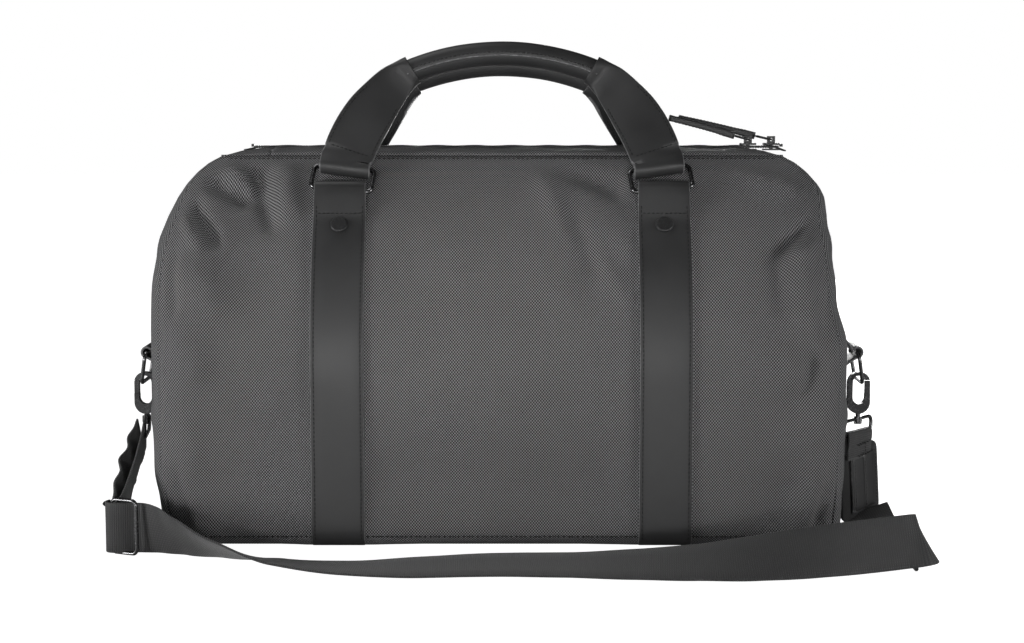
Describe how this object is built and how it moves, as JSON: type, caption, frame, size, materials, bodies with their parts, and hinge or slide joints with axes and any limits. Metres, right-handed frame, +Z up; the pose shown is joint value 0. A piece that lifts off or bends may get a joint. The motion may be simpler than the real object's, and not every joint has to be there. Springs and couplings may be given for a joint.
{
  "type": "weekender bag",
  "caption": "Soft travel bag with a zipped mouth, two leather grip handles on wire rings, side D-rings and a clip-on webbing shoulder strap.",
  "frame": {"origin": "on the floor under the middle of the bag body", "axes": "+X along the bag from left to right, +Y from the strapped front to the rear, +Z up"},
  "size_m": [0.61, 0.3432, 0.3845],
  "materials": {
    "ballistic_nylon": "two-tone ballistic weave, matte",
    "lining_cloth": "plain woven lining",
    "base_board": "stiffener board",
    "leather": "smooth satin, painted edges",
    "rope_core": "twisted cord core",
    "zip_tape": "woven tape",
    "zip_coil": "moulded coil",
    "webbing": "ribbed webbing",
    "pad_cloth": "mesh-faced pad",
    "gunmetal": "polished gunmetal plating"
  },
  "bodies": {
    "bag": {"base_board": "base_board", "base_panel": "ballistic_nylon", "end_panel_left": "ballistic_nylon", "end_panel_right": "ballistic_nylon", "front_panel": "ballistic_nylon", "front_strap_left": "leather", "front_strap_right": "leather", "lining": "lining_cloth", "mouth_gusset_left": "ballistic_nylon", "mouth_gusset_right": "ballistic_nylon", "pad_leather_tab": "leather", "pad_strap": "webbing", "pad_webbing_end": "webbing", "rear_panel": "ballistic_nylon", "rear_strap_left": "leather", "rear_strap_right": "leather", "shoulder_pad": "pad_cloth", "shoulder_webbing": "webbing", "side_tab_left": "leather", "side_tab_right": "leather", "strap_ring": "gunmetal", "strap_rivets": "gunmetal", "strap_slider": "gunmetal", "swivel_loop_left": "gunmetal", "swivel_loop_right": "gunmetal", "webbing_return": "webbing", "zip_fixed_ends": "zip_tape", "zip_stops": "gunmetal"},
    "front_flap": {"front_placket": "ballistic_nylon", "front_zip_tape": "zip_tape", "front_zip_teeth": "zip_coil"},
    "front_rings": {"front_ring_left": "gunmetal", "front_ring_right": "gunmetal"},
    "front_handle": {"front_handle_strap_left": "leather", "front_handle_strap_right": "leather", "front_grip": "leather", "front_grip_core": "rope_core"},
    "rear_flap": {"rear_placket": "ballistic_nylon", "rear_zip_tape": "zip_tape", "rear_zip_teeth": "zip_coil"},
    "rear_rings": {"rear_ring_left": "gunmetal", "rear_ring_right": "gunmetal"},
    "rear_handle": {"rear_handle_strap_left": "leather", "rear_handle_strap_right": "leather", "rear_grip": "leather", "rear_grip_core": "rope_core"},
    "slider_a": {"zip_slider_a": "gunmetal"},
    "pull_a": {"zip_link_a": "gunmetal", "zip_pull_a": "leather"},
    "slider_b": {"zip_slider_b": "gunmetal"},
    "pull_b": {"zip_link_b": "gunmetal", "zip_pull_b": "leather"},
    "d_ring_left": {"d_ring_left": "gunmetal"},
    "hook_left": {"hook_body_left": "gunmetal", "hook_gate_pin_left": "gunmetal"},
    "gate_left": {"hook_gate_left": "gunmetal"},
    "d_ring_right": {"d_ring_right": "gunmetal"},
    "hook_right": {"hook_body_right": "gunmetal", "hook_gate_pin_right": "gunmetal"},
    "gate_right": {"hook_gate_right": "gunmetal"}
  },
  "joints": [
    {"name": "front_ring_swing", "type": "hinge", "parent": "bag", "child": "front_rings", "pos_m": [0, -0.07356, 0.26859], "axis": [1, 0, 0], "range_deg": [0, 130]},
    {"name": "front_handle_tilt", "type": "hinge", "parent": "front_rings", "child": "front_handle", "pos_m": [0, -0.06, 0.28463], "axis": [1, 0, 0], "range_deg": [0, 30]},
    {"name": "front_flap_open", "type": "hinge", "parent": "bag", "child": "front_flap", "pos_m": [0, -0.037, 0.29324], "axis": [1, 0, 0], "range_deg": [0, 50]},
    {"name": "rear_ring_swing", "type": "hinge", "parent": "bag", "child": "rear_rings", "pos_m": [0, 0.07356, 0.26859], "axis": [-1, 0, 0], "range_deg": [0, 130]},
    {"name": "rear_handle_tilt", "type": "hinge", "parent": "rear_rings", "child": "rear_handle", "pos_m": [0, 0.06, 0.28463], "axis": [-1, 0, 0], "range_deg": [0, 30]},
    {"name": "rear_flap_open", "type": "hinge", "parent": "bag", "child": "rear_flap", "pos_m": [0, 0.037, 0.29324], "axis": [-1, 0, 0], "range_deg": [0, 50]},
    {"name": "zip_slider_a_slide", "type": "slide", "parent": "bag", "child": "slider_a", "axis": [1, 0, 0], "range_m": [-0.385, 0]},
    {"name": "zip_slider_b_slide", "type": "slide", "parent": "bag", "child": "slider_b", "axis": [1, 0, 0], "range_m": [-0.0015, 0]},
    {"name": "zip_pull_a_flip", "type": "hinge", "parent": "slider_a", "child": "pull_a", "pos_m": [0.196, 0, 0.3054], "axis": [0, 1, 0], "range_deg": [0, 110]},
    {"name": "zip_pull_b_flip", "type": "hinge", "parent": "slider_b", "child": "pull_b", "pos_m": [0.2145, 0, 0.3054], "axis": [0, 1, 0], "range_deg": [0, 110]},
    {"name": "d_ring_left_swing", "type": "hinge", "parent": "bag", "child": "d_ring_left", "pos_m": [-0.277, -0.04, 0.141], "axis": [0, 1, 0], "range_deg": [0, 4]},
    {"name": "hook_left_swivel", "type": "hinge", "parent": "bag", "child": "hook_left", "pos_m": [-0.281, -0.04, 0.09], "axis": [0, 0, 1], "range_deg": [-12, 12]},
    {"name": "hook_left_gate", "type": "hinge", "parent": "hook_left", "child": "gate_left", "pos_m": [-0.28808, -0.039, 0.10525], "axis": [0.1392, 0.9903, 0], "range_deg": [0, 22], "stiffness_Nm_per_rad": 0.02, "springref_deg": -5.73},
    {"name": "d_ring_right_swing", "type": "hinge", "parent": "bag", "child": "d_ring_right", "pos_m": [0.277, -0.04, 0.141], "axis": [0, -1, 0], "range_deg": [0, 4]},
    {"name": "hook_right_swivel", "type": "hinge", "parent": "bag", "child": "hook_right", "pos_m": [0.281, -0.04, 0.09], "axis": [0, 0, 1], "range_deg": [-12, 12]},
    {"name": "hook_right_gate", "type": "hinge", "parent": "hook_right", "child": "gate_right", "pos_m": [0.28808, -0.039, 0.10525], "axis": [0.1392, -0.9903, 0], "range_deg": [0, 22], "stiffness_Nm_per_rad": 0.02, "springref_deg": -5.73}
  ]
}
